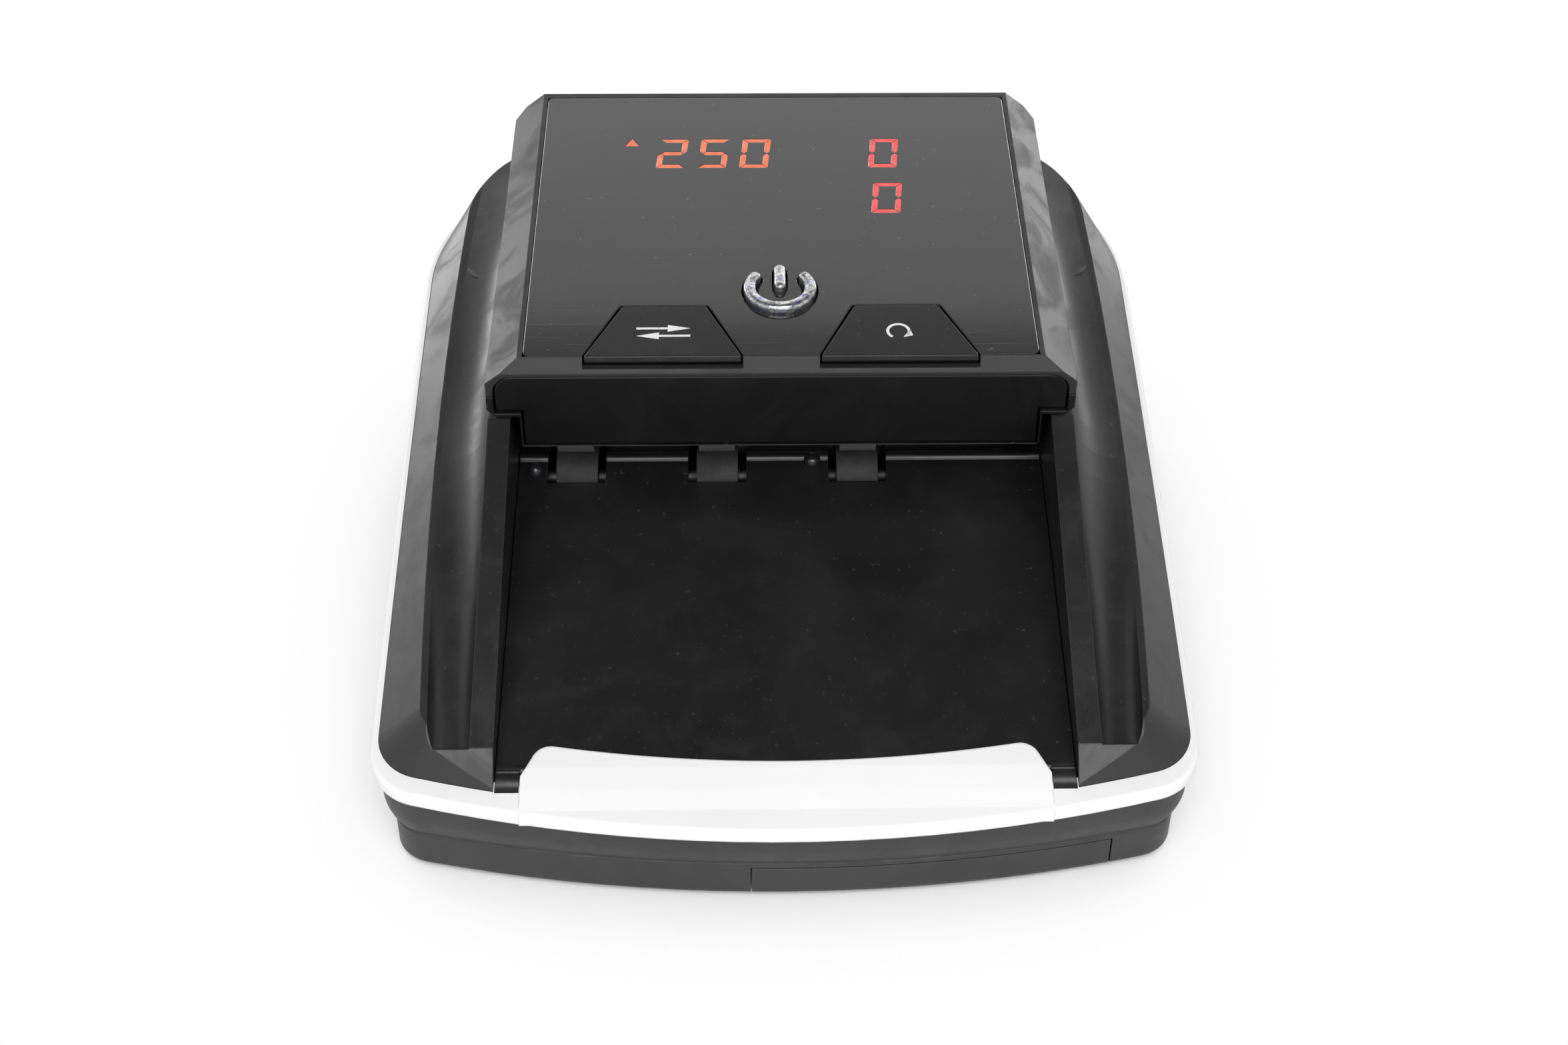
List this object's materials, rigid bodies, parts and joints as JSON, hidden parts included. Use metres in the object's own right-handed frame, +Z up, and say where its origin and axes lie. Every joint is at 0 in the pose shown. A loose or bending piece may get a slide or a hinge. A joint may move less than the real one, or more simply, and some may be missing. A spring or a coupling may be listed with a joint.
{
  "type": "banknote counter",
  "caption": "Compact desktop banknote counter and checker: tilting reader head with display and keys over a feed tray, rubber feed rollers, white trim, dark wedge body.",
  "frame": {"origin": "middle of the footprint on the table, at the feet", "axes": "+Z up, +X to the operator's right, -Y towards the operator (feed tray side), +Y to the rear where notes come out"},
  "size_m": [0.128, 0.148, 0.0619],
  "materials": {
    "base_plastic": "fine spark texture",
    "shell_plastic": "fine spark texture",
    "white_trim": "satin white",
    "tray_black": "semi-gloss black",
    "dome_clear": "dark infrared filter",
    "foot_rubber": "matte rubber",
    "screw_steel": "zinc",
    "screw_black": "blackened",
    "battery_wrap": "shrink film",
    "spring_brass": "plated spring",
    "chassis_black": "moulded",
    "window_dark": "dark filter window",
    "board_green": "solder mask",
    "shaft_steel": "ground",
    "hub_black": "acetal",
    "roller_rubber": "ground dark rubber",
    "bush_bronze": "sintered",
    "pulley_black": "acetal",
    "pulley_brass": "turned",
    "belt_rubber": "moulded",
    "motor_steel": "zinc plated",
    "cap_black": "moulded",
    "bracket_steel": "zinc plated",
    "disc_black": "moulded",
    "chip_black": "moulded",
    "jack_black": "moulded",
    "port_steel": "plated",
    "head_plastic": "fine spark texture",
    "body_plastic": "fine spark texture",
    "panel_black": "satin",
    "mag_steel": "lapped",
    "pinch_plastic": "acetal",
    "lens_black": "polished black acrylic",
    "digit_amber": "lit segments",
    "digit_red": "lit segments",
    "key_grey": "satin",
    "key_clear": "bright plated",
    "module_grey": "moulded",
    "switch_black": "moulded"
  },
  "bodies": {
    "base": {"base_shell": "base_plastic", "upper_shell": "shell_plastic", "trim_band": "white_trim", "tray_floor": "tray_black", "sensor_domes": "dome_clear", "rubber_feet": "foot_rubber", "case_screws": "screw_steel", "board_screws": "screw_steel", "chassis_screws": "screw_steel", "battery_pack": "battery_wrap", "battery_contacts": "spring_brass", "lower_chassis": "chassis_black", "lower_sensor_glass": "window_dark", "lower_sensor_board": "board_green", "shaft_bushes": "bush_bronze", "drive_belt": "belt_rubber", "transfer_belt": "belt_rubber", "motor_can": "motor_steel", "motor_end_cap": "cap_black", "motor_bracket": "bracket_steel", "encoder_sensor": "cap_black", "main_board": "board_green", "board_components": "chip_black", "dc_jack": "jack_black", "update_port": "port_steel"},
    "head": {"head_cover": "head_plastic", "head_body": "body_plastic", "front_panel": "panel_black", "hinge_pins": "shaft_steel", "head_screws": "screw_black", "upper_sensor_glass": "window_dark", "upper_sensor_board": "board_green", "magnetic_head": "mag_steel", "display_lens": "lens_black", "count_digits": "digit_amber", "value_digits": "digit_red", "display_board": "board_green", "display_screws": "screw_steel", "digit_modules": "module_grey", "tact_switches": "switch_black"},
    "feed": {"feed_shaft": "shaft_steel", "feed_hubs": "hub_black", "feed_tyres": "roller_rubber", "feed_pulley": "pulley_black"},
    "exit": {"exit_shaft": "shaft_steel", "exit_hubs": "hub_black", "exit_tyres": "roller_rubber", "exit_pulley": "pulley_black"},
    "motor_rotor": {"motor_shaft": "shaft_steel", "motor_pulley": "pulley_brass", "encoder_disc": "disc_black"},
    "pinch_front": {"pinch_front_shaft": "shaft_steel", "pinch_front_rollers": "pinch_plastic"},
    "pinch_rear": {"pinch_rear_shaft": "shaft_steel", "pinch_rear_rollers": "pinch_plastic"},
    "battery_door": {"battery_cover": "base_plastic"},
    "left_button": {"left_key": "key_grey"},
    "right_button": {"right_key": "key_grey"},
    "power_button": {"power_key": "key_clear"}
  },
  "joints": [
    {"name": "head_lift", "type": "hinge", "parent": "base", "child": "head", "pos_m": [0, 0.066, 0.05392], "axis": [-1, 0, 0], "range_deg": [0, 60]},
    {"name": "feed_spin", "type": "hinge", "parent": "base", "child": "feed", "pos_m": [0, 0.001, 0.0257], "axis": [1, 0, 0], "continuous": true},
    {"name": "exit_spin", "type": "hinge", "parent": "base", "child": "exit", "pos_m": [0, 0.054, 0.0257], "axis": [1, 0, 0], "continuous": true},
    {"name": "motor_spin", "type": "hinge", "parent": "base", "child": "motor_rotor", "pos_m": [0, 0.028, 0.0142], "axis": [1, 0, 0], "continuous": true},
    {"name": "pinch_front_spin", "type": "hinge", "parent": "head", "child": "pinch_front", "pos_m": [0, 0.001, 0.037], "axis": [1, 0, 0], "continuous": true},
    {"name": "pinch_rear_spin", "type": "hinge", "parent": "head", "child": "pinch_rear", "pos_m": [0, 0.054, 0.037], "axis": [1, 0, 0], "continuous": true},
    {"name": "battery_slide", "type": "slide", "parent": "base", "child": "battery_door", "axis": [0, -1, 0], "range_m": [0, 0.006]},
    {"name": "left_press", "type": "slide", "parent": "head", "child": "left_button", "axis": [0, 0.0732, -0.9973], "range_m": [0, 0.0006], "stiffness_N_per_m": 400, "springref_m": -0.0002},
    {"name": "right_press", "type": "slide", "parent": "head", "child": "right_button", "axis": [0, 0.0732, -0.9973], "range_m": [0, 0.0006], "stiffness_N_per_m": 400, "springref_m": -0.0002},
    {"name": "power_press", "type": "slide", "parent": "head", "child": "power_button", "axis": [0, 0.0732, -0.9973], "range_m": [0, 0.0006], "stiffness_N_per_m": 400, "springref_m": -0.0002}
  ],
  "couplings": [
    {"joint": "exit_spin", "follows": "feed_spin", "ratio": 1},
    {"joint": "motor_spin", "follows": "feed_spin", "ratio": 1.4545},
    {"joint": "pinch_front_spin", "follows": "feed_spin", "ratio": -1.4444},
    {"joint": "pinch_rear_spin", "follows": "feed_spin", "ratio": -1.4444}
  ]
}
